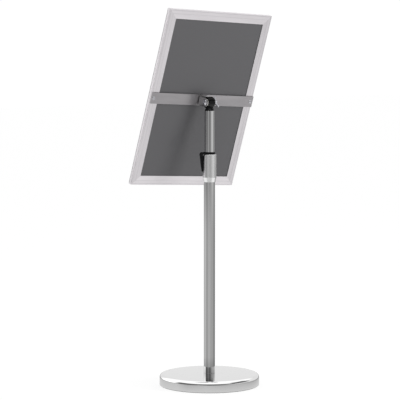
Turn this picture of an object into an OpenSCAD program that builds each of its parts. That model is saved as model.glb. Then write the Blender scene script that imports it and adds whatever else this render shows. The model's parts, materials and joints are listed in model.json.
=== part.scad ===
// Height-adjustable poster stand: weighted round base, telescopic pole with a flip-lever clamp,
// tilting hinge with a wing nut, and a snap-open poster frame that turns between portrait and landscape.
// Origin: centre of the base's underside. +Z up, +Y towards the back of the sign, X along the hinge bolt.

/* [Base] */
// Diameter of the base
base_d = 250; // [200:1:320]
// Height of the base at its centre
base_h = 29.5; // [27:0.5:36]
// Height of the base's straight side wall
base_wall_h = 19; // [14:0.5:19]
// Radius of the base's rounded edge
base_edge_r = 9; // [6:0.5:9]
// Sheet thickness of the base cover
shell_t = 1.2; // [0.8:0.1:1.4]
// How far the pad stands below the base cover
pad_lip = 1.2; // [0.6:0.1:2]

/* [Pole] */
// Outside diameter of the lower tube
lower_d = 28; // [26:0.5:30]
// Wall thickness of both tubes
tube_t = 1.2; // [1:0.1:1.2]
// Outside diameter of the upper tube
upper_d = 25.4; // [22:0.2:25.4]
// Length of the upper tube
upper_len = 480; // [420:5:500]
// Length of upper tube showing above the clamp
upper_show = 102.5; // [60:0.5:380]

/* [Clamp] */
// Height of the top of the clamp sleeve above the floor
sleeve_top_z = 580; // [500:1:640]
// Length of the clamp sleeve, with its tapered foot
sleeve_len = 69; // [60:1:90]
// Outside diameter of the clamp sleeve
sleeve_d = 34.5; // [34:0.5:38]
// Direction of the clamp lever around the pole, from +X
lever_az = -22; // [-28:1:-16]
// Length of the clamp lever below its pin
lever_len = 43; // [36:1:50]
// Angle through which the clamp lever opens
lever_open = 100; // [90:1:100]
// How far the brake shoe backs off when the lever opens
shoe_travel = 0.8; // [0.5:0.1:0.9]

/* [Hinge] */
// Height of the hinge bolt above the upper tube's top
pivot_rise = 21; // [20:0.5:26]
// Lean of the sign back from upright
tilt = 16; // [0:1:90]
// Turn of the sign frame about its central rivet
turn = 3.5; // [-90:0.5:90]
// Distance from the hinge bolt to the back of the frame
hinge_reach = 29.2; // [28:0.2:36]
// How far the cross bar sits below the hinge bolt
bar_drop = 2.8; // [0:0.2:4]
// Radius of the bracket's rounded ear
ear_r = 11.3; // [10.5:0.1:13]
// Half the width of the knuckle's drum
drum_half = 11.6; // [10.5:0.1:13]
// Radius of the knuckle's drum
drum_r = 13.8; // [13:0.1:15]
// Thickness of the bracket plate
plate_t = 3; // [2.5:0.25:4]
// Direction of the wing nut's wings, from straight down towards the back
wing_angle = 50; // [0:5:90]

/* [Sign frame] */
// Width of the poster
poster_w = 297; // [210:1:420]
// Height of the poster
poster_h = 420; // [297:1:594]
// Distance from the poster's edge to the frame's outer edge
border = 16; // [14.5:0.5:20]
// Depth of the frame, front to back
frame_t = 12.4; // [12.4:0.1:14]
// Width of the frame's front face
face_w = 25; // [25:0.5:28]
// Width of the flange behind the back panel
flange_w = 23.5; // [20:0.5:24]
// Height of the cross bar
bar_h = 28; // [24:1:32]
// Thickness of the cross bar
bar_t = 3; // [2:0.5:3]
// Distance from the bar's end to its screw
bar_screw_in = 7.5; // [6:0.5:8]

/* [Hidden] */
$fn = 96;
slack = 0.05;
frame_w = poster_w + 2 * border;
frame_h = poster_h + 2 * border;

// Heights up the pole
sleeve_bottom_z = sleeve_top_z - sleeve_len;
ring_h = 6;
ring_top_z = sleeve_top_z + ring_h;
lower_top_z = sleeve_bottom_z + 30;
upper_top_z = ring_top_z + upper_show;
upper_bottom_z = upper_top_z - upper_len;
pivot_z = upper_top_z + pivot_rise;
lower_r = lower_d / 2;
upper_r = upper_d / 2;
lower_in_r = lower_r - tube_t;
upper_in_r = upper_r - tube_t;

// Base stack
pad_h = 3;
weight_top_z = 18;
boss_r = 28;
bolt_r = 5;
bolt_hole_r = 5.4;
pocket_r = 13;
pocket_top_z = 12;
washer_t = 2;
bolt_head_h = 6.4;
plug_len = 30;

// Clamp
lever_pin_r = 1.5;
lever_x = sleeve_d / 2 + 0.55;
lever_z = sleeve_top_z - 1;
lever_w = 8.4;
cheek_w = 14;
cheek_r = 6.4;
cam_r = 3.4;
cam_gap = 0.12;
shoe_w = 6.8;
shoe_h = 8;
bush_in_r = upper_r + 0.06;
bush_out_r = lower_r;
ring_r = lower_r + 0.4;

// Hinge
hinge_bolt_r = 3;
friction_t = 1;
ear_gap = drum_half + friction_t + 2 * slack;
ear_out = ear_gap + plate_t;
drum_land_r = 7.3;
nut_washer_t = 1.2;
nut_washer_x = -ear_gap - slack;
nut_x = nut_washer_x - nut_washer_t - slack;
nut_len = 7;
bolt_end_x = nut_x - nut_len - 2.5;
rivet_r = 4;
bar_back_y = -hinge_reach + bar_t;
web_y = bar_back_y + friction_t;

// Snap frame section, with p inwards from the outer edge and q forwards from the back
flange_t = 1.4;
wall_t = 1.3;
bead_p = 2.2;
bead_q = frame_t - 3.5;
bead_r = 1.25;
socket_r = 2.2;
skin_t = 1.2;
skin_out_r = frame_t - bead_q;
inner_wall_p = 12.6;
shelf_q = 5.2;
lip_q = 4.75;
cover_end_q = 6.4;
mitre_gap = 0.25;
socket_open = [38, 170];
bead_short = 6;
panel_t = 2;
sheet_gap = 0.05;
panel_q = flange_t + sheet_gap;
poster_t = 0.25;
poster_q = panel_q + panel_t + sheet_gap;
clear_t = 0.8;
clear_q = poster_q + poster_t + sheet_gap;
bar_screw_r = 2.5;
key_len = 40;

// ---------- places ----------

// Bracket place: origin on the hinge bolt, y out of the sign's back, z up the sign
module at_hinge() {
    translate([0, 0, pivot_z])
        rotate([-tilt, 0, 0])
            children();
}

// Rivet place: as at_hinge, level with the middle of the cross bar
module at_rivet() {
    at_hinge()
        translate([0, 0, -bar_drop])
            children();
}

// Sign place: as at_rivet, turned about the central rivet
module at_sign() {
    at_rivet()
        rotate([0, -turn, 0])
            children();
}

// Lever place: origin on the lever pin, x out from the pole, y along the pin
module at_lever() {
    rotate([0, 0, lever_az])
        translate([lever_x, 0, lever_z])
            children();
}

// Edge place: origin at the middle of one outer back edge, x along it, z inwards, -y forwards
// Edges: 0 bottom, 1 left, 2 top, 3 right, as the reader sees them
function span(edge) = edge % 2 == 0 ? frame_h : frame_w;
function edge_len(edge) = edge % 2 == 0 ? frame_w : frame_h;
module at_edge(edge) {
    at_sign()
        rotate([0, edge * 90, 0])
            translate([0, -hinge_reach, -span(edge) / 2])
                children();
}

// ---------- shared shapes ----------

module tube(r_out, r_in, z0, z1) {
    translate([0, 0, z0])
        difference() {
            cylinder(r = r_out, h = z1 - z0);
            translate([0, 0, -1])
                cylinder(r = r_in, h = z1 - z0 + 2);
        }
}

// Cylinder along X from x0 to x1
module rod_x(r, x0, x1) {
    translate([min(x0, x1), 0, 0])
        rotate([0, 90, 0])
            cylinder(r = r, h = abs(x1 - x0));
}

// Cylinder along Y from y0 to y1
module rod_y(r, y0, y1) {
    translate([0, min(y0, y1), 0])
        rotate([-90, 0, 0])
            cylinder(r = r, h = abs(y1 - y0));
}

// Flat shape drawn in x and z, extruded evenly about y = 0
module side_plate(width) {
    rotate([90, 0, 0])
        translate([0, 0, -width / 2])
            linear_extrude(width)
                children();
}

// Low dome on a flat disc, along +Z
module dome_head(r, h) {
    ball_r = (r * r + h * h) / (2 * h);
    intersection() {
        translate([0, 0, h - ball_r])
            sphere(r = ball_r);
        cylinder(r = r, h = h);
    }
}

// The same with a cross recess of the given length, width and depth
module recessed_head(r, h, cross_len, cross_w, cross_depth) {
    difference() {
        dome_head(r, h);
        for (a = [30, 120])
            rotate([0, 0, a])
                translate([-cross_len / 2, -cross_w / 2, h - cross_depth])
                    cube([cross_len, cross_w, h]);
    }
}

// ---------- base ----------

// Half section of the base's outside, shrunk inwards by inset
module base_section(inset) {
    edge_x = base_d / 2 - base_edge_r;
    rise = base_h - base_wall_h;
    dome_r = (edge_x * edge_x / (rise - base_edge_r) + rise + base_edge_r) / 2;
    square([base_d / 2 - inset, base_wall_h]);
    translate([edge_x, base_wall_h])
        circle(r = base_edge_r - inset);
    intersection() {
        translate([0, base_h - dome_r])
            circle(r = dome_r - inset, $fn = 360);
        square([edge_x * dome_r / (dome_r - base_edge_r), base_h]);
    }
}

module base_cover() {
    color("gainsboro")
        rotate_extrude()
            intersection() {
                difference() {
                    base_section(0);
                    base_section(shell_t);
                }
                translate([bolt_hole_r, pad_lip])
                    square([base_d, base_h]);
            }
}

module base_weight() {
    color("dimgray")
        difference() {
            union() {
                translate([0, 0, pad_h])
                    cylinder(r = base_d / 2 - 6, h = weight_top_z - pad_h);
                translate([0, 0, pad_h])
                    cylinder(r = boss_r, h = base_h - shell_t - 0.15 - pad_h);
            }
            cylinder(r = pocket_r, h = pocket_top_z);
            cylinder(r = bolt_hole_r, h = base_h);
        }
}

module base_pad() {
    color([0.12, 0.12, 0.12])
        tube(base_d / 2 - shell_t - 0.3, 24, 0, pad_h);
}

module pole_washer() {
    color("silver")
        tube(12, bolt_hole_r, pocket_top_z - washer_t, pocket_top_z);
}

module pole_bolt() {
    head_top = pocket_top_z - washer_t;
    color("silver") {
        translate([0, 0, head_top - bolt_head_h])
            cylinder(r = 9.8, h = bolt_head_h, $fn = 6);
        translate([0, 0, head_top - 1])
            cylinder(r = bolt_r, h = base_h + 25 - head_top);
    }
}

module pole_plug() {
    color("silver")
        tube(lower_in_r - slack, bolt_r + slack, base_h, base_h + plug_len);
}

// ---------- pole ----------

module lower_tube() {
    color("lightgray")
        tube(lower_r, lower_in_r, base_h, lower_top_z);
}

module upper_tube() {
    color("lightgray")
        tube(upper_r, upper_in_r, upper_bottom_z, upper_top_z);
}

// Plastic end bush: slides in the lower tube, its spigot turns inside the upper tube
module guide_bush() {
    color("ivory")
        difference() {
            union() {
                translate([0, 0, upper_bottom_z - 10])
                    cylinder(r = lower_in_r - slack, h = 10 - slack);
                translate([0, 0, upper_bottom_z - 1])
                    cylinder(r = upper_in_r - slack, h = 31);
            }
            translate([0, 0, upper_bottom_z - 11])
                cylinder(r = 8, h = 50);
        }
}

// ---------- clamp ----------

module clamp_sleeve() {
    taper_h = 11.5;
    chamfer = 0.8;
    out_r = sleeve_d / 2;
    in_r = lower_r + slack;
    color("silver")
        difference() {
            rotate_extrude()
                polygon([
                    [in_r, sleeve_bottom_z], [in_r + 0.5, sleeve_bottom_z],
                    [out_r, sleeve_bottom_z + taper_h], [out_r, sleeve_top_z - chamfer],
                    [out_r - chamfer, sleeve_top_z], [in_r, sleeve_top_z]
                ]);
            at_lever()
                translate([-lever_x + 5, -cheek_w / 2 - 0.1, -cheek_r - 1.6])
                    cube([lever_x + 10, cheek_w + 0.2, 20]);
        }
}

// Black plastic liner: ring, collar on top, and two cheeks that carry the lever pin
module clamp_bush() {
    color([0.08, 0.08, 0.08])
        difference() {
            union() {
                translate([0, 0, lower_top_z + slack])
                    cylinder(r = bush_out_r, h = ring_top_z - lower_top_z - slack);
                translate([0, 0, sleeve_top_z])
                    cylinder(r = ring_r, h = ring_h);
                at_lever()
                    side_plate(cheek_w) {
                        circle(r = cheek_r);
                        translate([-5, -cheek_r])
                            square([5, 2 * cheek_r]);
                    }
            }
            translate([0, 0, lower_top_z - 1])
                cylinder(r = bush_in_r, h = 100);
            at_lever() {
                translate([ring_r - lever_x - 0.2, -lever_w / 2 - slack, -20])
                    cube([30, lever_w + 2 * slack, 40]);
                translate([-lever_x, -shoe_w / 2 - slack, -shoe_h / 2 - slack])
                    cube([lever_x + 10, shoe_w + 2 * slack, shoe_h + 2 * slack]);
                rotate([90, 0, 0])
                    cylinder(r = lever_pin_r + 0.02, h = 40, center = true);
            }
        }
}

module lever_pin() {
    color("silver")
        at_lever()
            rotate([90, 0, 0])
                cylinder(r = lever_pin_r, h = cheek_w - 2, center = true);
}

// Side view of the lever: a spiral cam that backs off evenly, and a tapering arm below it
module lever_outline() {
    cam_end = 180 - lever_open;
    function cam(a) = cam_r - shoe_travel * (180 - a) / lever_open;
    spiral = [for (a = [cam_end : 5 : 215]) min(cam(a), cam_r) * [cos(a), sin(a)]];
    arm = [
        [0.1, -9], [0.1, -lever_len + 1], [0.8, -lever_len], [2, -lever_len + 1],
        [3.4, -lever_len * 0.75], [4.8, -lever_len / 2], [5.8, -lever_len / 4], [6.4, -4], [6.5, -1],
        [6, 1]
    ];
    polygon(concat(spiral, arm));
}

module clamp_lever() {
    tip_w = 6;
    color([0.08, 0.08, 0.08])
        at_lever()
            difference() {
                intersection() {
                    side_plate(lever_w)
                        lever_outline();
                    translate([-10, 0, 0])
                        rotate([90, 0, 90])
                            linear_extrude(30)
                                polygon([
                                    [-tip_w / 2, -lever_len - 1], [tip_w / 2, -lever_len - 1],
                                    [lever_w / 2, -10], [lever_w / 2, 10],
                                    [-lever_w / 2, 10], [-lever_w / 2, -10]
                                ]);
                }
                rotate([90, 0, 0])
                    cylinder(r = lever_pin_r + slack, h = 20, center = true);
            }
}

module brake_shoe() {
    shoe_x = -cam_r - cam_gap;
    color("darkorange")
        difference() {
            at_lever()
                translate([-lever_x, -shoe_w / 2, -shoe_h / 2])
                    cube([lever_x + shoe_x, shoe_w, shoe_h]);
            translate([0, 0, lever_z - 10])
                cylinder(r = upper_r + 0.03, h = 20);
        }
}

// ---------- hinge ----------

// Half section of the drum, drawn in radius and x: its nut end is well rounded
module drum_section() {
    round_r = drum_r - drum_land_r;
    translate([0, -drum_half])
        square([drum_land_r, 2 * drum_half]);
    translate([0, round_r - drum_half])
        square([drum_r, 2 * drum_half - round_r]);
    translate([drum_land_r, round_r - drum_half])
        circle(r = round_r);
}

// Black plastic joint: drum round the bolt, flared neck, collar on the tube's rim, spigot inside the tube
module knuckle() {
    neck_r = 9.3;
    collar_h = 1;
    flare_h = 5;
    spigot_len = 40;
    spigot_r = upper_in_r - slack;
    collar_r = upper_in_r + 0.5;
    color([0.1, 0.1, 0.1])
        translate([0, 0, pivot_z])
            difference() {
                union() {
                    rotate([0, 90, 0])
                        rotate_extrude()
                            drum_section();
                    translate([0, 0, -pivot_rise + slack]) {
                        cylinder(r = neck_r, h = pivot_rise);
                        translate([0, 0, -spigot_len])
                            cylinder(r = spigot_r, h = spigot_len + collar_h);
                        cylinder(r = collar_r, h = collar_h);
                        translate([0, 0, collar_h])
                            cylinder(r1 = collar_r, r2 = neck_r, h = flare_h);
                    }
                }
                rod_x(hinge_bolt_r + slack, -20, 20);
            }
}

// L-shaped bracket, drawn from above: a foot against the cross bar and one ear beside the drum
module bracket_section() {
    bend_r = plate_t + 0.5;
    foot_reach = 12;
    translate([-foot_reach, web_y])
        square([foot_reach + ear_out - bend_r, plate_t]);
    translate([ear_gap, web_y + bend_r])
        square([plate_t, ear_r - web_y - bend_r]);
    intersection() {
        translate([ear_out - bend_r, web_y + bend_r])
            difference() {
                circle(r = bend_r);
                circle(r = bend_r - plate_t);
            }
        translate([ear_out - bend_r, web_y])
            square(bend_r);
    }
}

module hinge_bracket() {
    root_h = 21;
    color("silver")
        at_hinge()
            difference() {
                intersection() {
                    translate([0, 0, -bar_drop - root_h])
                        linear_extrude(2 * root_h)
                            bracket_section();
                    rotate([0, 0, 90])
                        side_plate(2 * ear_out + 2) {
                            circle(r = ear_r);
                            polygon([
                                [web_y - 1, -bar_drop - root_h / 2], [0, -ear_r],
                                [0, ear_r], [web_y - 1, -bar_drop + root_h / 2]
                            ]);
                        }
                }
                rod_x(hinge_bolt_r + 0.1, 0, 30);
                translate([0, 0, -bar_drop])
                    rod_y(rivet_r + 0.02, web_y - 1, web_y + plate_t + 1);
            }
}

// Truss head screw with a cross recess; its shank runs through the ear and the drum
module hinge_bolt() {
    head_r = 8;
    head_h = 3.6;
    color("silver")
        at_hinge() {
            translate([ear_out + slack, 0, 0])
                rotate([0, 90, 0])
                    recessed_head(head_r, head_h, 8.4, 1.8, 2);
            rod_x(hinge_bolt_r, bolt_end_x, ear_out + 1);
        }
}

// Nylon washers: a wide one against the ear, a small one on the drum's rounded end
module friction_washers() {
    color("ivory")
        at_hinge()
            difference() {
                union() {
                    rod_x(10.8, drum_half + slack, ear_gap - slack);
                    rod_x(drum_land_r - 0.3, -drum_half - slack, -ear_gap + slack);
                }
                rod_x(hinge_bolt_r + 0.1, -20, 20);
            }
}

module nut_washer() {
    color("silver")
        at_hinge()
            difference() {
                rod_x(7, nut_washer_x, nut_washer_x - nut_washer_t);
                rod_x(hinge_bolt_r + slack, -40, 0);
            }
}

module wing_nut() {
    wing_t = 2.4;
    color("silver")
        at_hinge()
            difference() {
                union() {
                    translate([nut_x - nut_len, 0, 0])
                        rotate([0, 90, 0])
                            cylinder(r1 = 4.4, r2 = 5.6, h = nut_len);
                    rotate([wing_angle, 0, 0])
                        translate([nut_x, 0, 0])
                            for (side = [-1, 1])
                                side_plate(wing_t) {
                                    polygon([
                                        [-0.8, side * 3.5], [-6.6, side * 13.6],
                                        [-11, side * 11], [-6.8, side * 3.5]
                                    ]);
                                    translate([-8.8, side * 12.3])
                                        circle(r = 2.5);
                                }
                }
                rod_x(hinge_bolt_r + slack, -50, 0);
            }
}

module turn_rivet() {
    color("silver")
        at_rivet() {
            rod_y(rivet_r, -hinge_reach - 0.5, web_y + plate_t + 0.5);
            rod_y(8, -hinge_reach - 1.2, -hinge_reach - 0.02);
            translate([0, web_y + plate_t + 0.02, 0])
                rotate([-90, 0, 0])
                    dome_head(7, 2);
        }
}

module turn_washer() {
    color("ivory")
        at_rivet()
            difference() {
                rod_y(9.5, bar_back_y + 0.02, web_y - 0.02);
                rod_y(rivet_r + 0.05, -hinge_reach, 0);
            }
}

// ---------- cross bar ----------

module cross_bar() {
    color("darkgray")
        at_sign()
            difference() {
                translate([-frame_w / 2, -hinge_reach, -bar_h / 2])
                    cube([frame_w, bar_t, bar_h]);
                rod_y(rivet_r + 0.05, -hinge_reach - 1, 0);
                for (side = [-1, 1])
                    translate([side * (frame_w / 2 - bar_screw_in), 0, 0])
                        rod_y(bar_screw_r + 0.1, -hinge_reach - 1, 0);
            }
}

module bar_screws() {
    head_r = 4.5;
    head_h = 2.6;
    color("gainsboro")
        at_sign()
            for (side = [-1, 1])
                translate([side * (frame_w / 2 - bar_screw_in), 0, 0]) {
                    rod_y(bar_screw_r, -hinge_reach - 4.6, bar_back_y + 1);
                    translate([0, bar_back_y, 0])
                        rotate([-90, 0, 0])
                            recessed_head(head_r, head_h, 4.8, 1, 1.1);
                }
}

module bar_nuts() {
    color("silver")
        for (edge = [1, 3])
            at_edge(edge)
                difference() {
                    translate([-5, -4.8, 2.4])
                        cube([10, 4.8 - flange_t - 0.1, 9.8]);
                    translate([0, 0, bar_screw_in])
                        rod_y(bar_screw_r + slack, -6, 0);
                }
}

// ---------- snap frame ----------

// Section drawn in p and q, extruded evenly along an edge
module along_edge(length) {
    rotate([0, -90, 180])
        translate([0, 0, -length / 2])
            linear_extrude(length)
                children();
}

// Section extruded along an edge with a 45 degree mitre at each end; trim leaves a gap at each
module mitred(edge, trim) {
    half = edge_len(edge) / 2 - trim;
    deep = 40;
    intersection() {
        along_edge(2 * half)
            children();
        translate([0, 1, 0])
            rotate([90, 0, 0])
                linear_extrude(30)
                    polygon([[-half, 0], [half, 0], [half - deep, deep], [-half + deep, deep]]);
    }
}

// Ring section round the cover's bead, open from angle a0 to a1
module open_ring(r_out, r_in, a0, a1) {
    mid = (a0 + a1) / 2;
    far = 4 * r_out;
    difference() {
        circle(r = r_out);
        circle(r = r_in);
        polygon([
            [0, 0], far * [cos(a0), sin(a0)], far * [cos(mid), sin(mid)], far * [cos(a1), sin(a1)]
        ]);
    }
}

// Section of a rail, drawn in p and q
module rail_section() {
    groove_q = 4.6;
    difference() {
        union() {
            square([flange_w, flange_t]);
            square([wall_t, bead_q - 1]);
            translate([inner_wall_p, 0])
                square([wall_t, shelf_q + 1]);
            translate([inner_wall_p - 2, shelf_q])
                square([3, 1]);
            translate([0.5, shelf_q])
                square([4.8, 1]);
            translate([bead_p, bead_q])
                open_ring(socket_r, bead_r + slack, socket_open[0], socket_open[1]);
            difference() {
                translate([0, bead_q - 2.6])
                    square([bead_p, 2.6]);
                translate([bead_p, bead_q])
                    circle(r = socket_r - 0.2);
            }
        }
        translate([-0.1, groove_q])
            square([0.5, 0.5]);
    }
}

// Skin of a snap cover, drawn in p and q from the bead's centre: rounded outer edge, sloping face, inner lip
module skin_section() {
    run = face_w - bead_p;
    slope = atan2(frame_t - cover_end_q, run);
    in_r = skin_out_r - skin_t;
    lip_y = lip_q - bead_q;
    function face_y(r, x) = (r - x * sin(slope)) / cos(slope);
    outer = [for (a = [105 : -5 : 90 - slope]) skin_out_r * [cos(a), sin(a)]];
    inner = [for (a = [90 - slope : 5 : 105]) in_r * [cos(a), sin(a)]];
    lip = [
        [run - 1.2, face_y(skin_out_r, run - 1.2)], [run - 0.3, face_y(skin_out_r, run - 0.9) - 0.4],
        [run, face_y(skin_out_r, run) - 0.9], [run, lip_y], [run - skin_t, lip_y],
        [run - skin_t, face_y(in_r, run - skin_t)]
    ];
    polygon(concat(outer, lip, inner));
}

// Bead and neck of a snap cover, drawn as skin_section
module bead_section() {
    neck_w = 0.9;
    circle(r = bead_r);
    rotate([0, 0, 62])
        translate([0, -neck_w / 2])
            square([skin_out_r - skin_t / 2, neck_w]);
}

module rail(edge) {
    color("gainsboro")
        at_edge(edge)
            difference() {
                mitred(edge, 0)
                    rail_section();
                if (edge % 2 == 1)
                    translate([0, 0, bar_screw_in])
                        rod_y(bar_screw_r + 0.1, -flange_t - 1, 1);
            }
}

module rail_bottom() {
    rail(0);
}

module rail_left() {
    rail(1);
}

module rail_top() {
    rail(2);
}

module rail_right() {
    rail(3);
}

module snap_cover(edge) {
    bead_len = edge_len(edge) - 2 * (bead_p + bead_short);
    color("lightgray")
        at_edge(edge) {
            mitred(edge, mitre_gap)
                translate([bead_p, bead_q])
                    skin_section();
            along_edge(bead_len)
                translate([bead_p, bead_q])
                    bead_section();
        }
}

module snap_cover_bottom() {
    snap_cover(0);
}

module snap_cover_left() {
    snap_cover(1);
}

module snap_cover_top() {
    snap_cover(2);
}

module snap_cover_right() {
    snap_cover(3);
}

// Flat L-shaped keys that slide into the rails' channels and join them at the corners
module corner_keys() {
    edge_gap = wall_t + 0.4;
    key_w = 10;
    key_t = 3.5;
    key_y = -hinge_reach - flange_t - 0.1;
    color("dimgray")
        at_sign()
            for (sx = [0, 1], sz = [0, 1])
                mirror([sx, 0, 0])
                    mirror([0, 0, sz])
                        translate([edge_gap - frame_w / 2, key_y, edge_gap - frame_h / 2])
                            rotate([90, 0, 0])
                                linear_extrude(key_t) {
                                    square([key_len, key_w]);
                                    square([key_w, key_len]);
                                }
}

// Leaf springs: bowed strips on the rails' shelves, two to a side
module cover_springs() {
    strip_w = 14;
    bow_r = 5;
    strip_t = 0.5;
    color("steelblue")
        for (edge = [0 : 3], side = [-1, 1])
            at_edge(edge)
                translate([side * edge_len(edge) / 4, 0, 0])
                    along_edge(strip_w)
                        intersection() {
                            translate([9, 3.9])
                                difference() {
                                    circle(r = bow_r);
                                    circle(r = bow_r - strip_t);
                                }
                            translate([0, shelf_q + 1.02])
                                square([20, 10]);
                        }
}

// ---------- sheets ----------

module sheet(w, h, q0, t) {
    at_sign()
        translate([-w / 2, -hinge_reach - q0 - t, -h / 2])
            cube([w, t, h]);
}

module back_panel() {
    color([0.37, 0.37, 0.38])
        sheet(poster_w + 0.4, poster_h + 0.4, panel_q, panel_t);
}

module poster_sheet() {
    color("white")
        sheet(poster_w, poster_h, poster_q, poster_t);
}

module cover_sheet() {
    color([0.85, 0.92, 0.95, 0.4])
        sheet(poster_w, poster_h, clear_q, clear_t);
}

base_pad();
base_weight();
base_cover();
pole_bolt();
pole_washer();
pole_plug();
lower_tube();
clamp_sleeve();
clamp_bush();
lever_pin();
clamp_lever();
brake_shoe();
guide_bush();
upper_tube();
knuckle();
hinge_bracket();
hinge_bolt();
friction_washers();
nut_washer();
wing_nut();
turn_rivet();
turn_washer();
cross_bar();
bar_screws();
bar_nuts();
rail_top();
rail_bottom();
rail_left();
rail_right();
corner_keys();
cover_springs();
snap_cover_top();
snap_cover_bottom();
snap_cover_left();
snap_cover_right();
back_panel();
poster_sheet();
cover_sheet();
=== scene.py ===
import json
import math

import bmesh
import bpy
from mathutils import Matrix, Vector


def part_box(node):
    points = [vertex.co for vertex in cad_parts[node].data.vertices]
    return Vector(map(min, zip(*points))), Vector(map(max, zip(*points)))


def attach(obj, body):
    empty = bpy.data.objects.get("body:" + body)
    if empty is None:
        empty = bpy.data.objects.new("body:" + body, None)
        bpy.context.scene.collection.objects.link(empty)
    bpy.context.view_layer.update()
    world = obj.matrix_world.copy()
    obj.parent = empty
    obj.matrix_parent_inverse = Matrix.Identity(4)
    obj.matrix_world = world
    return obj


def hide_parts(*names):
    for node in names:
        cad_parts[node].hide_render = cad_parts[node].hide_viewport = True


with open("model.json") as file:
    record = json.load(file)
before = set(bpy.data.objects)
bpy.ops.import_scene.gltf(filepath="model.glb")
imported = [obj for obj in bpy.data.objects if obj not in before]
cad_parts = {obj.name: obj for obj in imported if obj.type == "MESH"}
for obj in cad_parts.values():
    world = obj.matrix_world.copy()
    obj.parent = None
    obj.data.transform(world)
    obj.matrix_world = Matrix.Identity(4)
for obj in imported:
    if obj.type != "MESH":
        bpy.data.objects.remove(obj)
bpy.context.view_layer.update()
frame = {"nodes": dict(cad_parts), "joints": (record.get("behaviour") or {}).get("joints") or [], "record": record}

# ---------- places, all from the frame ----------

MM = 0.001
JOINTS = {j["name"]: j for j in frame["joints"]}


def axes_matrix(x_axis, y_axis, origin):
    x_axis, y_axis = Vector(x_axis).normalized(), Vector(y_axis).normalized()
    z_axis = x_axis.cross(y_axis)
    m = Matrix((x_axis, y_axis, z_axis)).transposed().to_4x4()
    m.translation = Vector(origin)
    return m


SIGN_BACK = Vector(JOINTS["sign_turn"]["axis"])
# Sign place: x along the cross bar, y out of the sign's back, z up the sign, origin at the bar's middle
SIGN = axes_matrix(JOINTS["cover_bottom_flip"]["axis"], SIGN_BACK, JOINTS["sign_turn"]["pos_m"])
# Bracket place: x along the hinge bolt, y out of the sign's back, origin on the bolt
HINGE = axes_matrix(JOINTS["sign_tilt"]["axis"], SIGN_BACK, JOINTS["sign_tilt"]["pos_m"])
UPRIGHT = Matrix.Identity(4)


def local_box(node, place):
    """Lowest and highest corner of a CAD node, in millimetres in the given place."""
    inverse = place.inverted()
    points = [inverse @ v.co / MM for v in frame["nodes"][node].data.vertices]
    return Vector(map(min, *points)), Vector(map(max, *points))


# Details that the boxes of the nodes don't give, in millimetres
TUBE_WALL = 1.2
BASE_RIM_R = 9.0
BASE_CROWN = 1.5
BASE_WALL_SWELL = 4.0
BASE_HOLE_R = 5.4
BASE_SHEET = 1.2
FOOT_SHADE_H = 42
SLEEVE_TAPER_H = 11.5
SLOT_HALF = 7.1
SLOT_BELOW = 8.0
HINGE_HEAD_H = 3.6
HINGE_BOLT_R = 3.0
BAR_HEAD_H = 2.6
BAR_SCREW_R = 2.5
POLE_BOLT_R = 5.0
POLE_HEAD_H = 6.4
HEAD_RINGS = 24

# ---------- material tools ----------


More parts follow.
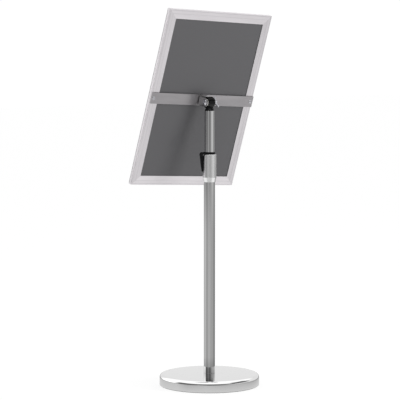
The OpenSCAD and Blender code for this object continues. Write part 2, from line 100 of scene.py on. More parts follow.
class Shader:
    """A node material under construction: place() gives coordinates, the rest build on them."""

    def __init__(self, name):
        self.mat = bpy.data.materials.new(name)
        self.mat.use_nodes = True
        self.tree = self.mat.node_tree
        self.tree.nodes.clear()
        self.out = self.tree.nodes.new("ShaderNodeOutputMaterial")
        self.bsdf = self.tree.nodes.new("ShaderNodeBsdfPrincipled")
        self.link(self.bsdf.outputs[0], self.out.inputs["Surface"])

    def link(self, a, b):
        self.tree.links.new(a, b)

    def node(self, kind, **settings):
        n = self.tree.nodes.new(kind)
        for key, value in settings.items():
            setattr(n, key, value)
        return n

    def place(self, matrix, stretch=(1, 1, 1)):
        """Coordinates in millimetres in the given place, divided by stretch."""
        coords = self.node("ShaderNodeTexCoord")
        local = self.node("ShaderNodeMapping", vector_type="TEXTURE")
        local.inputs["Location"].default_value = matrix.to_translation()
        local.inputs["Rotation"].default_value = matrix.to_euler()
        scaled = self.node("ShaderNodeVectorMath", operation="DIVIDE")
        scaled.inputs[1].default_value = [MM * s for s in stretch]
        self.link(coords.outputs["Object"], local.inputs["Vector"])
        self.link(local.outputs[0], scaled.inputs[0])
        return scaled.outputs[0]

    def noise(self, coords, scale, detail=3.0, roughness=0.55):
        n = self.node("ShaderNodeTexNoise")
        n.inputs["Scale"].default_value = scale
        n.inputs["Detail"].default_value = detail
        n.inputs["Roughness"].default_value = roughness
        self.link(coords, n.inputs["Vector"])
        return n.outputs[0]

    def spread(self, value, low, high, from_low=0.3, from_high=0.7):
        n = self.node("ShaderNodeMapRange", clamp=True)
        n.inputs["From Min"].default_value = from_low
        n.inputs["From Max"].default_value = from_high
        n.inputs["To Min"].default_value = low
        n.inputs["To Max"].default_value = high
        self.link(value, n.inputs["Value"])
        return n.outputs[0]

    def tint(self, value, dark, light):
        n = self.node("ShaderNodeMix", data_type="RGBA")
        n.inputs[6].default_value = (*dark, 1)
        n.inputs[7].default_value = (*light, 1)
        self.link(value, n.inputs[0])
        return n.outputs[2]

    def mixed(self, share, a, b):
        n = self.node("ShaderNodeMix", data_type="RGBA")
        n.inputs[7].default_value = (*b, 1)
        self.link(share, n.inputs[0])
        self.link(a, n.inputs[6])
        return n.outputs[2]

    def line(self, coords, axis, distance, width):
        """1 on the two planes at this distance either side of the centre, fading to 0 over the width."""
        parts = self.node("ShaderNodeSeparateXYZ")
        self.link(coords, parts.inputs[0])
        away = self.node("ShaderNodeMath", operation="ABSOLUTE")
        self.link(parts.outputs["XYZ".index(axis)], away.inputs[0])
        gap = self.node("ShaderNodeMath", operation="SUBTRACT")
        self.link(away.outputs[0], gap.inputs[0])
        gap.inputs[1].default_value = distance
        size = self.node("ShaderNodeMath", operation="ABSOLUTE")
        self.link(gap.outputs[0], size.inputs[0])
        return self.spread(size.outputs[0], 1, 0, 0, width)

    def bump(self, value, height_mm, strength=1.0, before=None):
        n = self.node("ShaderNodeBump")
        n.inputs["Distance"].default_value = height_mm * MM
        n.inputs["Strength"].default_value = strength
        self.link(value, n.inputs["Height"])
        if before is not None:
            self.link(before, n.inputs["Normal"])
        return n.outputs[0]

    def set(self, **values):
        for key, value in values.items():
            socket = self.bsdf.inputs[key.replace("_", " ").title().replace("Ior", "IOR")]
            if isinstance(value, bpy.types.NodeSocket):
                self.link(value, socket)
            else:
                socket.default_value = value
        return self.mat


NEUTRAL = (1.0, 1.0, 1.0)
LILAC = (1.017, 0.98, 1.01)
COOL = (0.99, 0.99, 1.04)


def tinted(level, tint):
    return tuple(level * t for t in tint)


def drawn_metal(name, matrix, level, roughness, grain, tone=0.06, height=0.004, tint=NEUTRAL, shade_bands=()):
    """Metal with fine lines along one axis: grain is the stretch of the lines in millimetres.
    Bands given as (axis, distance, width, dim) are painted shade: at those distances from the centre the colour is
    darker by the factor, over a very shallow dip in the surface."""
    s = Shader(name)
    lines = s.noise(s.place(matrix, grain), 1.0, 4.0, 0.7)
    patches = s.noise(s.place(matrix, [max(g, 12) for g in grain]), 0.6, 2.0)
    color = s.tint(s.spread(lines, 0, 1), tinted(level * (1 - tone), tint), tinted(level * (1 + tone), tint))
    normal = s.bump(lines, height)
    # Painted shade: each band darkens the colour and dents the normal very slightly
    for axis, distance, width, dim in shade_bands:
        shade_band = s.line(s.place(matrix), axis, distance, width)
        color = s.mixed(shade_band, color, tinted(level * dim, tint))
        normal = s.bump(shade_band, -0.1, 0.6, normal)
    return s.set(
        base_color=color,
        metallic=1.0,
        roughness=s.spread(patches, roughness * 0.8, roughness * 1.25),
        normal=normal,
    )


def moulded_plastic(
        name, matrix, color, roughness, grain_mm=0.4, height=0.01, tone=1.12, wear=0.02, gloss=0.5):
    """Plastic with a fine spark-eroded grain, slightly uneven gloss and paler edges."""
    s = Shader(name)
    fine = s.noise(s.place(matrix, [grain_mm] * 3), 1.0, 2.0)
    broad = s.noise(s.place(matrix, [14] * 3), 1.0, 2.0)
    even = s.tint(s.spread(broad, 0, 1), color, tuple(c * tone for c in color))
    edges = s.spread(s.node("ShaderNodeNewGeometry").outputs["Pointiness"], 0, 0.6, 0.52, 0.62)
    return s.set(
        base_color=s.mixed(edges, even, tuple(c * tone + wear for c in color)),
        roughness=s.spread(broad, roughness * 0.8, roughness * 1.2),
        normal=s.bump(fine, height),
        ior=1.45,
        specular_ior_level=gloss,
    )


def paint(node_names, material):
    for name in node_names:
        mesh = frame["nodes"][name].data
        mesh.materials.clear()
        mesh.materials.append(material)


def refine(node_names, edge_mm):
    """Rounds every hard edge of these CAD nodes with modifiers and shades them smoothly."""
    for name in node_names:
        obj = frame["nodes"][name]
        normals = obj.data.attributes.get("custom_normal")
        if normals:
            obj.data.attributes.remove(normals)
        for face in obj.data.polygons:
            face.use_smooth = True
        weld = obj.modifiers.new("weld", "WELD")
        weld.merge_threshold = 0.002 * MM
        flat = obj.modifiers.new("flat", "DECIMATE")
        flat.decimate_type = "DISSOLVE"
        flat.angle_limit = math.radians(1)
        bevel = obj.modifiers.new("bevel", "BEVEL")
        bevel.width = edge_mm * MM
        bevel.segments = 2
        bevel.limit_method = "ANGLE"
        bevel.angle_limit = math.radians(32)
        shade = obj.modifiers.new("shade", "WEIGHTED_NORMAL")
        shade.keep_sharp = False


# ---------- mesh tools ----------

BODY_OF = {n: body for body, nodes in frame["record"]["behaviour"]["bodies"].items() for n in nodes}


def stand_for(obj, node, material):
    """Gives a finished mesh object its material and puts it in a CAD node's place."""
    obj.data.materials.clear()
    obj.data.materials.append(material)
    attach(obj, BODY_OF[node])
    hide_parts(node)
    return obj


def mark_sharp(bm, degrees):
    for edge in bm.edges:
        edge.smooth = edge.calc_face_angle(0.0) < math.radians(degrees)


def object_from(bm, name, sharp_degrees=40):
    """Turns a bmesh into a smooth-shaded object with true sharp edges."""
    bmesh.ops.recalc_face_normals(bm, faces=bm.faces)
    for face in bm.faces:
        face.smooth = True
    mark_sharp(bm, sharp_degrees)
    mesh = bpy.data.meshes.new(name)
    bm.to_mesh(mesh)
    bm.free()
    obj = bpy.data.objects.new(name, mesh)
    bpy.context.scene.collection.objects.link(obj)
    return obj


def settled(obj):
    """Applies an object's modifiers to its mesh."""
    graph = bpy.context.evaluated_depsgraph_get()
    mesh = bpy.data.meshes.new_from_object(obj.evaluated_get(graph))
    obj.modifiers.clear()
    obj.data = mesh
    return obj


def eased(points, radius, steps=4):
    """A closed outline with each corner replaced by a short curve, and a point either side that keeps
    the shading of the straight stretches flat."""
    out = []
    for i, here in enumerate(points):
        here = Vector(here)
        before = Vector(points[i - 1]) - here
        after = Vector(points[(i + 1) % len(points)]) - here
        reach = min(radius, before.length * 0.3, after.length * 0.3)
        if here.x < 1e-6 or reach < 1e-6:
            out.append(tuple(here))
            continue
        start, end = here + before.normalized() * reach, here + after.normalized() * reach
        out.append(tuple(here + before.normalized() * reach * 1.4))
        for k in range(steps + 1):
            t = k / steps
            out.append(tuple(start * (1 - t) ** 2 + here * 2 * t * (1 - t) + end * t ** 2))
        out.append(tuple(here + after.normalized() * reach * 1.4))
    return out


def lathe(bm, outline, place, segments=96, shape=None):
    """Turns an outline of (radius, height) points in millimetres about the place's z axis.
    An outline that starts and ends on the axis stays open there; shape(angle, radius, height) varies the radius."""
    rings = []
    for radius, height in outline:
        if radius < 1e-6:
            rings.append([bm.verts.new(place @ Vector((0, 0, height * MM)))])
            continue
        ring = []
        for k in range(segments):
            angle = 2 * math.pi * k / segments
            r = shape(angle, radius, height) if shape else radius
            ring.append(bm.verts.new(place @ (Vector((r * math.cos(angle), r * math.sin(angle), height)) * MM)))
        rings.append(ring)
    closed = len(rings[0]) > 1
    for i in range(len(rings) if closed else len(rings) - 1):
        low, high = rings[i], rings[(i + 1) % len(rings)]
        for k in range(segments):
            m = (k + 1) % segments
            corners = [low[k % len(low)], low[m % len(low)], high[m % len(high)], high[k % len(high)]]
            bm.faces.new(list(dict.fromkeys(corners)))
    return bm


def melted(node, name, voxel_mm, rounds):
    """A copy of a CAD node with its edges and inner corners run together, as in a moulding or casting."""
    obj = bpy.data.objects.new(name, frame["nodes"][node].data.copy())
    bpy.context.scene.collection.objects.link(obj)
    weld = obj.modifiers.new("weld", "WELD")
    weld.merge_threshold = 0.002 * MM
    remesh = obj.modifiers.new("remesh", "REMESH")
    remesh.mode = "VOXEL"
    remesh.voxel_size = voxel_mm * MM
    remesh.use_smooth_shade = True
    smooth = obj.modifiers.new("smooth", "SMOOTH")
    smooth.factor = 0.5
    smooth.iterations = rounds
    return settled(obj)


# ---------- materials ----------

frame_low, frame_high = local_box("rail_left", SIGN)
FRAME_HALF_HEIGHT = frame_high.z
FRAME_HALF_WIDTH = max(-frame_low.x, frame_high.x)
# Painted shade lines round the frame's outer wall, at two depths
SIDE_SHADE_BANDS = [("Y", 3.0, 0.9, 0.3), ("Y", 10.6, 0.8, 0.3)]


def flange_shade_bands(axis, half_size):
    """Painted shade lines along a frame side: two on its back flange and two round its outer wall."""
    return [(axis, half_size - 2.6, 0.5, 0.6), (axis, half_size - 11, 0.3, 0.6)] + SIDE_SHADE_BANDS


# The tube's colour is darkened over the lowest FOOT_SHADE_H mm above the base: painted shade where the base's shadow
# and dark reflection fall on the tube
polished_tube = drawn_metal(
    "polished_tube", UPRIGHT, 0.76, 0.05, (1.2, 1.2, 500), 0.17, 0.0012,
    shade_bands=[("Z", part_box("base_cover")[1].z / MM, FOOT_SHADE_H, 0.55)])
polished_base = drawn_metal("polished_base", UPRIGHT, 0.82, 0.06, (30, 30, 30), 0.01, 0.012)
satin_sleeve = drawn_metal("satin_sleeve", UPRIGHT, 0.98, 0.22, (0.5, 0.5, 60), 0.03, 0.003)
# The same aluminium twice, with the grain along each side; the upright sides get a lower level (0.79 against 0.88),
# painted shade for how differently their brushed lines reflect
frame_along_x = drawn_metal(
    "frame_aluminium_x", SIGN, 0.88, 0.36, (110, 0.5, 0.5), 0.07, 0.006, LILAC,
    flange_shade_bands("Z", FRAME_HALF_HEIGHT))
frame_along_z_shaded = drawn_metal(
    "frame_aluminium_z_shaded", SIGN, 0.79, 0.36, (0.5, 0.5, 110), 0.07, 0.006, LILAC,
    flange_shade_bands("X", FRAME_HALF_WIDTH))
bar_aluminium = drawn_metal("bar_aluminium", SIGN, 0.44, 0.4, (60, 0.4, 0.4), 0.05, 0.004, LILAC)
bracket_steel = drawn_metal("bracket_steel", HINGE, 0.5, 0.25, (1.2, 8, 1.2), 0.06, 0.004)
zinc = drawn_metal("zinc", UPRIGHT, 0.8, 0.24, (1.5, 1.5, 1.5), 0.08, 0.004, COOL)
spring_steel = drawn_metal("spring_steel", SIGN, 0.4, 0.3, (2, 2, 2), 0.1, 0.002)
cast_iron = moulded_plastic("cast_iron", UPRIGHT, (0.03, 0.03, 0.032), 0.7, 1.5, 0.15)
rubber = moulded_plastic("rubber", UPRIGHT, (0.012, 0.012, 0.012), 0.75, 0.5, 0.05)
black_plastic = moulded_plastic(
    "black_plastic", UPRIGHT, (0.002, 0.002, 0.0023), 0.2, 0.5, 0.003, wear=0.004, gloss=0.25)
nylon = moulded_plastic("white_nylon", HINGE, (0.7, 0.68, 0.62), 0.45)
grey_panel = moulded_plastic("grey_panel", SIGN, (0.074, 0.073, 0.077), 0.4, 0.6, 0.0012, 1.05)
paper = moulded_plastic("paper", SIGN, (0.84, 0.84, 0.83), 0.8, 0.3, 0.006, 1.02)

clear = Shader("clear_sheet")
clear_sheet = clear.set(
    base_color=(0.9, 0.93, 0.95, 1),
    alpha=0.18,
    roughness=clear.spread(clear.noise(clear.place(SIGN, [2] * 3), 1.0), 0.12, 0.2),
)

paint(["lower_tube", "upper_tube"], polished_tube)
paint(["base_cover"], polished_base)
paint(["clamp_sleeve"], satin_sleeve)
paint(["rail_top", "rail_bottom", "snap_cover_top", "snap_cover_bottom"], frame_along_x)
paint(["rail_left", "rail_right", "snap_cover_left", "snap_cover_right"], frame_along_z_shaded)
paint(["cross_bar"], bar_aluminium)
paint(["hinge_bracket", "hinge_bolt"], bracket_steel)
paint(
    ["pole_bolt", "pole_washer", "pole_plug", "nut_washer", "wing_nut", "turn_rivet",
     "bar_screws", "bar_nuts", "corner_keys"], zinc)
paint(["cover_springs", "lever_pin"], spring_steel)
paint(["base_weight"], cast_iron)
paint(["base_pad", "brake_shoe"], rubber)
paint(["clamp_bush", "clamp_lever", "knuckle"], black_plastic)
paint(["guide_bush", "friction_washers", "turn_washer"], nylon)
paint(["back_panel"], grey_panel)
paint(["poster_sheet"], paper)
paint(["cover_sheet"], clear_sheet)

# ---------- finished pieces ----------

SHARP_NODES = [
    "base_pad", "base_weight", "pole_washer", "pole_plug", "guide_bush", "clamp_bush",
    "lever_pin", "brake_shoe", "hinge_bracket", "friction_washers", "nut_washer", "turn_rivet", "turn_washer",
    "cross_bar", "bar_nuts", "rail_top", "rail_bottom", "rail_left", "rail_right", "corner_keys",
    "cover_springs", "snap_cover_top", "snap_cover_bottom", "snap_cover_left", "snap_cover_right",
    "back_panel", "poster_sheet", "cover_sheet",
]


def edge_of(node):
    """Edge rounding in millimetres that suits a node."""
    if node in ("poster_sheet", "cover_springs"):
        return 0.05
    if node in ("hinge_bracket", "clamp_bush", "base_weight"):
        return 0.5
    if node.startswith("rail"):
        return 0.35
    if node.startswith(("snap", "friction", "turn_washer")):
        return 0.15
    return 0.3


def make_tube(node, material):
    """Tube with rolled-over rims."""
    low, high = local_box(node, UPRIGHT)
    outside = high.x
    inside = outside - TUBE_WALL
    corners = [(inside, low.z), (outside, low.z), (outside, high.z), (inside, high.z)]
    bm = lathe(bmesh.new(), eased(corners, 0.45), UPRIGHT, 128)
    stand_for(object_from(bm, node + "_drawn"), node, material)


def make_base_cover():
    """Spun dome with a rounded rim and a wall that swells slightly, closed over its sheet thickness."""
    low, high = local_box("base_cover", UPRIGHT)
    radius = high.x
    rim_x = radius - BASE_RIM_R
    wall_top = high.z - BASE_CROWN - BASE_RIM_R
    swell = math.radians(BASE_WALL_SWELL)

    def outline(inset):
        points = []
        for i in range(13):
            share = i / 12
            x = BASE_HOLE_R + (rim_x - BASE_HOLE_R) * share
            points.append((x, high.z - inset - BASE_CROWN * (x / rim_x) ** 2))
        for i in range(1, 17):
            angle = math.pi / 2 - (math.pi / 2 - swell) * i / 16
            points.append((
                rim_x + (BASE_RIM_R - inset) * math.cos(angle) / math.cos(swell),
                wall_top + (BASE_RIM_R - inset) * math.sin(angle)))
        start = points[-1]
        for i in range(1, 9):
            share = i / 8
            points.append((
                start[0] + (radius - inset - start[0]) * math.sin(share * math.pi / 2),
                start[1] + (low.z - start[1]) * share))
        return points

    ring = outline(0) + list(reversed(outline(BASE_SHEET)))
    bm = lathe(bmesh.new(), ring, UPRIGHT, 192)
    stand_for(object_from(bm, "base_cover_spun"), "base_cover", polished_base)


def make_sleeve():
    """Turned sleeve with a tapered foot, a chamfered top and a slot for the lever's cheeks."""
    low, high = local_box("clamp_sleeve", UPRIGHT)
    outside = -low.x
    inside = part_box("lower_tube")[1].x / MM + 0.05
    flip = JOINTS["lever_flip"]
    slot_foot = flip["pos_m"][2] / MM - SLOT_BELOW
    corners = [
        (inside, low.z), (inside + 0.5, low.z), (outside, low.z + SLEEVE_TAPER_H), (outside, slot_foot),
        (outside, high.z - 0.8), (outside - 0.8, high.z), (inside, high.z),
    ]
    obj = object_from(lathe(bmesh.new(), eased(corners, 0.4), UPRIGHT, 160), "clamp_sleeve_turned")
    pin = axes_matrix(Vector((flip["pos_m"][0], flip["pos_m"][1], 0)), flip["axis"], flip["pos_m"])
    bm = bmesh.new()
    bmesh.ops.create_cube(bm, size=1)
    reach, width, height = 20, 2 * SLOT_HALF, 20
    inwards = Vector(flip["pos_m"]).xy.length / MM - 5
    centre = Vector((reach / 2 - inwards, 0, SLOT_BELOW - height / 2))
    size = Matrix.Diagonal((reach * MM, width * MM, height * MM, 1))
    bmesh.ops.transform(bm, verts=bm.verts, matrix=pin @ Matrix.Translation(centre * MM) @ size)
    stand_for(cut(obj, object_from(bm, "cutter")), "clamp_sleeve", satin_sleeve)


def thread_shape(start, end, pitch, depth, turns_in=1.0):
    """Radius of a screw thread that runs from start to end along its axis."""
    def shape(angle, radius, height):
        inside = min(height - start, end - height)
        if inside <= 0:
            return radius
        phase = (height / pitch - angle / (2 * math.pi)) % 1.0
        fade = min(1.0, inside / (pitch * turns_in))
        return radius - depth * fade * abs(2 * phase - 1)
    return shape


def steps_between(start, end, count):
    return [start + (end - start) * i / count for i in range(count + 1)]


def cross_cutter(place, top, length, width, depth):
    """Tapered cross that cuts a screwdriver recess, in the place's z axis, from top down."""
    bm = bmesh.new()
    for turn in (30, 120):
        spin = place @ Matrix.Rotation(math.radians(turn), 4, "Z")
        corners = []
        for z, share in ((top - depth, 0.55), (top + depth, 1.45)):
            for x, y in ((-1, -1), (1, -1), (1, 1), (-1, 1)):
                point = Vector((x * length / 2 * share, y * width / 2, z))
                corners.append(bm.verts.new(spin @ (point * MM)))
        for face in ((3, 2, 1, 0), (4, 5, 6, 7), (0, 1, 5, 4), (1, 2, 6, 5), (2, 3, 7, 6), (3, 0, 4, 7)):
            bm.faces.new([corners[i] for i in face])
    return object_from(bm, "cutter", 1)


def cut(obj, cutter):
    boolean = obj.modifiers.new("cut", "BOOLEAN")
    boolean.operation = "DIFFERENCE"
    boolean.object = cutter
    boolean.solver = "EXACT"
    boolean.use_self = True
    settled(obj)
    bpy.data.objects.remove(cutter)
    bm = bmesh.new()
    bm.from_mesh(obj.data)
    mark_sharp(bm, 40)
    bm.to_mesh(obj.data)
    bm.free()
    return obj


def make_screw(name, place, tip, head_base, shank_r, head_r, head_h, thread_len, pitch, recess):
    """Machine screw along the place's z axis, tip first, with a domed head and a cross recess."""
    ball_r = (head_r ** 2 + head_h ** 2) / (2 * head_h)
    outline = [(0, tip), (shank_r - 0.7, tip), (shank_r, tip + 0.7)]
    outline += [(shank_r, z) for z in steps_between(tip + 0.8, tip + thread_len, round(thread_len / pitch * 7))]
    outline += [(shank_r, head_base - 0.3), (shank_r + 0.3, head_base), (head_r - 0.3, head_base)]
    edge = math.asin((head_r - 0.2) / ball_r)
    for i in range(HEAD_RINGS + 1):
        angle = edge * (1 - i / HEAD_RINGS)
        radius = ball_r * math.sin(angle) if i < HEAD_RINGS else 0
        outline.append((radius, head_base + head_h - ball_r * (1 - math.cos(angle))))
    shape = thread_shape(tip + 0.3, tip + thread_len, pitch, 0.55 * pitch)
    obj = object_from(lathe(bmesh.new(), outline, place, 48, shape), name, 50)
    length, width, depth = recess
    return cut(obj, cross_cutter(place, head_base + head_h, length, width, depth))


def joined(objects):
    """Joins the meshes of several objects into the first."""
    bm = bmesh.new()
    for obj in objects:
        bm.from_mesh(obj.data)
    bm.to_mesh(objects[0].data)
    bm.free()
    for obj in objects[1:]:
        bpy.data.objects.remove(obj)
    return objects[0]


def make_hinge_bolt():
    low, high = local_box("hinge_bolt", HINGE)
    along = HINGE @ Matrix.Rotation(math.pi / 2, 4, "Y")
    obj = make_screw(
        "hinge_bolt_threaded", along, low.x, high.x - HINGE_HEAD_H, HINGE_BOLT_R, high.z, HINGE_HEAD_H,
        18, 1.0, (8.4, 1.8, 2.0))
    stand_for(obj, "hinge_bolt", zinc)


def make_bar_screws():
    low, high = local_box("bar_screws", SIGN)
    screws = []
    for side in (-1, 1):
        centre = Vector((side * (high.x - high.z), 0, 0)) * MM
        place = SIGN @ Matrix.Translation(centre) @ Matrix.Rotation(-math.pi / 2, 4, "X")
        screws.append(make_screw(
            "bar_screw", place, low.y, high.y - BAR_HEAD_H, BAR_SCREW_R, high.z, BAR_HEAD_H,
            6, 0.8, (4.8, 1.0, 1.1)))
    obj = joined(screws)
    obj.name = "bar_screws_threaded"
    stand_for(obj, "bar_screws", zinc)


def make_pole_bolt():
    """Hexagon bolt up through the weight, threaded above its head."""
    low, high = local_box("pole_bolt", UPRIGHT)
    shank = [(POLE_BOLT_R, z) for z in steps_between(low.z + 8, high.z - 1, 190)]
    outline = [(0, low.z + POLE_HEAD_H - 0.5), (POLE_BOLT_R, low.z + POLE_HEAD_H - 0.4)] + shank
    outline += [(POLE_BOLT_R - 1, high.z), (0, high.z)]
    shape = thread_shape(low.z + 8, high.z + 1, 1.5, 0.8)
    rod = object_from(lathe(bmesh.new(), outline, UPRIGHT, 48, shape), "pole_bolt_threaded", 50)
    across = high.x * math.cos(math.pi / 6)

    def hexagon(angle, radius, height):
        off = (angle + math.pi / 6) % (math.pi / 3) - math.pi / 6
        return min(radius, across / math.cos(off)) if radius > across * 0.9 else radius

    head = [(0, low.z), (high.x * 0.88, low.z), (high.x, low.z + 0.7), (high.x, low.z + POLE_HEAD_H - 0.7)]
    head += [(high.x * 0.9, low.z + POLE_HEAD_H), (0, low.z + POLE_HEAD_H)]
    nut = object_from(lathe(bmesh.new(), head, UPRIGHT, 96, hexagon), "head", 25)
    stand_for(joined([rod, nut]), "pole_bolt", zinc)


make_tube("lower_tube", polished_tube)
make_tube("upper_tube", polished_tube)
make_base_cover()
make_sleeve()
make_hinge_bolt()
make_bar_screws()
make_pole_bolt()
stand_for(melted("knuckle", "knuckle_moulded", 0.5, 12), "knuckle", black_plastic)
stand_for(melted("clamp_lever", "clamp_lever_moulded", 0.3, 14), "clamp_lever", black_plastic)
stand_for(melted("wing_nut", "wing_nut_cast", 0.3, 6), "wing_nut", zinc)
for node in SHARP_NODES:
    refine([node], edge_of(node))

# ---------- studio ----------

CAMERA_AZIMUTH = math.radians(39.17)
CAMERA_RISE = math.radians(5.27)
CAMERA_DISTANCE = 5.431
CAMERA_AIM_HEIGHT = 0.4656
CAMERA_PAN = math.radians(0.248)
CAMERA_LENS = 195.94

towards_camera = Vector((math.sin(CAMERA_AZIMUTH), math.cos(CAMERA_AZIMUTH), 0))
camera_right = Vector((-math.cos(CAMERA_AZIMUTH), math.sin(CAMERA_AZIMUTH), 0))


def add_camera():
    aim = Vector((0, 0, CAMERA_AIM_HEIGHT))
    back = towards_camera * math.cos(CAMERA_RISE) + Vector((0, 0, math.sin(CAMERA_RISE)))
    data = bpy.data.cameras.new("camera")
    data.lens = CAMERA_LENS
    data.sensor_width = 36
    data.clip_end = 100
    camera = bpy.data.objects.new("camera", data)
    bpy.context.scene.collection.objects.link(camera)
    camera.location = aim + back * CAMERA_DISTANCE
    look = -back * math.cos(CAMERA_PAN) - camera_right * math.sin(CAMERA_PAN)
    camera.rotation_mode = "QUATERNION"
    camera.rotation_quaternion = look.to_track_quat("-Z", "Y")
    bpy.context.scene.camera = camera


# Light strips that upright surfaces reflect, as (degrees to the right of the camera, brightness):
# low ones for the lower tube and the base's wall, high ones for the upper tube
LOW_STRIPS = [
    (-180, 0.49), (-114, 0.56), (-81, 0.62), (-55, 0.37), (-32, 0.44), (-10, 0.54), (12, 0.50), (34, 0.42),
    (57, 0.44), (84, 0.39), (118, 0.24), (180, 0.23),
]
HIGH_STRIPS = [
    (-180, 0.3), (-104, 0.2), (-46, 0.17), (-23, 0.40), (0, 0.2), (23, 0.25), (46, 0.56), (72, 0.74),
    (104, 0.32), (180, 0.4),
]
FLOOR_GLOW = 0.88
FOOT_GLOW = 0.45
NEAR_WALL_SHARE = 1.05
NEAR_BAND_GLOW = 0.05
SIDE_WALL_GLOW = 0.9
LEFT_WALL_GLOW = 1.6
FAR_WALL_GLOW = 0.86
OVERHEAD_GLOW = 1.25
FLAG_START = (math.radians(56), math.radians(66))
FLAG_END = (math.radians(118), math.radians(106))
FLAG_LEVELS = [(0.0, 0.9), (0.3, 0.9), (0.38, 0.05), (0.54, 0.05), (0.6, 0.4), (0.65, 0.1), (0.71, 0.1), (0.76, 1.2)]
DIFFUSE_GLOW = 0.8
KEY_SIZE = (1.3, 1.3)
KEY_POWER = 40
GLOW_RADIUS = 0.3
GLOW_LEVEL = 0.72
CAMERA_WHITE = 1.02


class WorldNodes:
    """Small helpers for building the world's node tree."""

    def __init__(self, tree):
        self.tree = tree
        self.coords = self.node("ShaderNodeTexCoord").outputs["Generated"]

    def node(self, kind, **settings):
        n = self.tree.nodes.new(kind)
        for key, value in settings.items():
            setattr(n, key, value)
        return n

    def plug(self, socket, value):
        if isinstance(value, bpy.types.NodeSocket):
            self.tree.links.new(value, socket)
        elif socket.type == "RGBA":
            socket.default_value = (value, value, value, 1)
        else:
            socket.default_value = value

    def math(self, operation, *values):
        n = self.node("ShaderNodeMath", operation=operation)
        for socket, value in zip(n.inputs, values):
            self.plug(socket, value)
        return n.outputs[0]

    def along(self, direction):
        n = self.node("ShaderNodeVectorMath", operation="DOT_PRODUCT")
        self.plug(n.inputs[0], self.coords)
        n.inputs[1].default_value = direction
        return n.outputs["Value"]

    def ramp(self, value, stops):
        """Brightness through (position, level) stops; positions run from 0 to 1."""
        n = self.node("ShaderNodeValToRGB")
        elements = n.color_ramp.elements
        for i, (at, level) in enumerate(stops):
            stop = elements[i] if i < 2 else elements.new(at)
            stop.position = at
            stop.color = (level, level, level, 1)
        self.plug(n.inputs[0], value)
        return n.outputs[0]

    def step(self, value, low, high):
        """0 below low, 1 above high, smooth between."""
        n = self.node("ShaderNodeMapRange", interpolation_type="SMOOTHSTEP")
        n.inputs["From Min"].default_value = low
        n.inputs["From Max"].default_value = high
        self.plug(n.inputs["Value"], value)
        return n.outputs[0]

    def mix(self, share, a, b):
        n = self.node("ShaderNodeMix", data_type="RGBA")
        self.plug(n.inputs[0], share)
        self.plug(n.inputs[6], a)
        self.plug(n.inputs[7], b)
        return n.outputs[2]


def add_world():
    """White for the camera, even soft light for matt surfaces, and a studio of soft walls for glossy ones."""
    world = bpy.data.worlds.new("studio")
    world.use_nodes = True
    bpy.context.scene.world = world
    world.node_tree.nodes.clear()
    w = WorldNodes(world.node_tree)

    turn = w.math("ARCTAN2", w.along(camera_right), w.along(towards_camera))
    rise = w.along((0, 0, 1))

    def rise_of(degrees):
        return math.sin(math.radians(degrees))

    share = w.math("MULTIPLY_ADD", turn, 0.5 / math.pi, 0.5)
    low, high = (
        w.ramp(share, [(deg / 360 + 0.5, level) for deg, level in strips])
        for strips in (LOW_STRIPS, HIGH_STRIPS))
    away = w.math("ABSOLUTE", turn)
    sideness = w.step(away, math.radians(72), math.radians(112))
    farness = w.step(away, math.radians(125), math.radians(155))
    below = w.mix(w.step(rise, rise_of(-6.5), rise_of(-3.5)), low, high)
    below = w.mix(w.step(rise, rise_of(-24), rise_of(-12)), FLOOR_GLOW, below)
    foot = w.mix(w.step(away, math.radians(40), math.radians(65)), FOOT_GLOW, FLOOR_GLOW)
    below = w.mix(w.step(rise, rise_of(-33), rise_of(-22)), foot, below)
    near_wall = w.math("MULTIPLY", high, NEAR_WALL_SHARE)
    near_wall = w.mix(w.step(rise, rise_of(10.5), rise_of(14)), near_wall, NEAR_BAND_GLOW)
    walls = w.mix(sideness, near_wall, SIDE_WALL_GLOW)
    walls = w.mix(w.step(turn, math.radians(-72), math.radians(-96)), walls, LEFT_WALL_GLOW)
    walls = w.mix(farness, walls, FAR_WALL_GLOW)
    glossy = w.mix(w.step(rise, rise_of(-1.5), rise_of(1.5)), below, walls)
    glossy = w.mix(w.step(rise, rise_of(24), rise_of(40)), glossy, OVERHEAD_GLOW)
    flag = w.math("MULTIPLY", w.step(turn, *FLAG_START), w.step(turn, *FLAG_END))
    flag = w.math("MULTIPLY", flag, w.step(rise, rise_of(12), rise_of(20)))
    glossy = w.mix(flag, glossy, w.ramp(rise, FLAG_LEVELS))

    paths = w.node("ShaderNodeLightPath")
    soft = w.mix(paths.outputs["Is Glossy Ray"], DIFFUSE_GLOW, glossy)
    seen = w.mix(paths.outputs["Is Camera Ray"], soft, CAMERA_WHITE)
    background = w.node("ShaderNodeBackground")
    w.plug(background.inputs["Color"], seen)
    w.plug(w.node("ShaderNodeOutputWorld").inputs["Surface"], background.outputs[0])


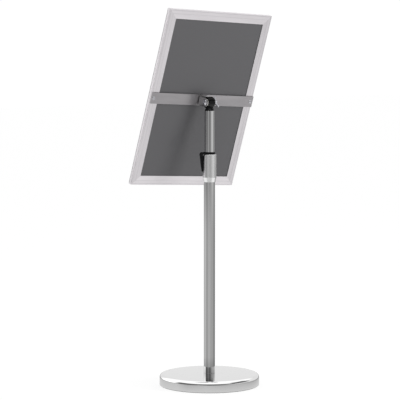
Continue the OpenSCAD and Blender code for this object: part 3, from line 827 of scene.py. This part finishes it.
def add_floor():
    bpy.ops.mesh.primitive_plane_add(size=24)
    floor = bpy.context.object
    floor.name = "floor"
    s = Shader("floor_paper")
    s.set(
        base_color=s.tint(s.noise(s.place(UPRIGHT, [40] * 3), 1.0), (0.3, 0.3, 0.3), (0.32, 0.32, 0.32)),
        roughness=0.9,
        emission_color=(1, 1, 1, 1),
        emission_strength=0.75,
    )
    s.bsdf.inputs["Specular IOR Level"].default_value = 0.0
    floor.data.materials.append(s.mat)
    floor.visible_glossy = False


def add_key_light():
    """A soft box to the right of the camera, which throws the pole's soft shadow on the back panel."""
    data = bpy.data.lights.new("key", "AREA")
    data.shape = "RECTANGLE"
    data.size, data.size_y = KEY_SIZE
    data.energy = KEY_POWER
    light = bpy.data.objects.new("key", data)
    bpy.context.scene.collection.objects.link(light)
    hinge = Vector(JOINTS["sign_tilt"]["pos_m"])
    light.location = hinge + towards_camera * 0.75 + camera_right * 2.9 + Vector((0, 0, 0.1))
    light.rotation_mode = "QUATERNION"
    light.rotation_quaternion = (hinge - light.location).to_track_quat("-Z", "Y")
    light.visible_camera = False
    light.visible_glossy = False


def add_floor_glow():
    """The bright floor close round the base, seen only by its polished wall."""
    bpy.ops.mesh.primitive_circle_add(vertices=96, radius=GLOW_RADIUS, fill_type="NGON", location=(0, 0, 0.0005))
    disc = bpy.context.object
    disc.name = "floor_glow"
    s = Shader("floor_glow")
    away = s.node("ShaderNodeVectorMath", operation="LENGTH")
    s.link(s.place(UPRIGHT), away.inputs[0])
    base_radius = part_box("base_cover")[1].x
    share = s.spread(away.outputs["Value"], 1, 0, base_radius / MM, GLOW_RADIUS / MM)
    glow = s.node("ShaderNodeEmission")
    glow.inputs["Strength"].default_value = GLOW_LEVEL
    clear_part = s.node("ShaderNodeBsdfTransparent")
    blend = s.node("ShaderNodeMixShader")
    s.link(share, blend.inputs[0])
    s.link(clear_part.outputs[0], blend.inputs[1])
    s.link(glow.outputs[0], blend.inputs[2])
    s.link(blend.outputs[0], s.out.inputs["Surface"])
    s.tree.nodes.remove(s.bsdf)
    disc.data.materials.append(s.mat)
    disc.visible_camera = False
    disc.visible_diffuse = False
    disc.visible_shadow = False


add_camera()
add_world()
add_floor()
add_key_light()
add_floor_glow()
bpy.context.scene.view_settings.view_transform = "Standard"
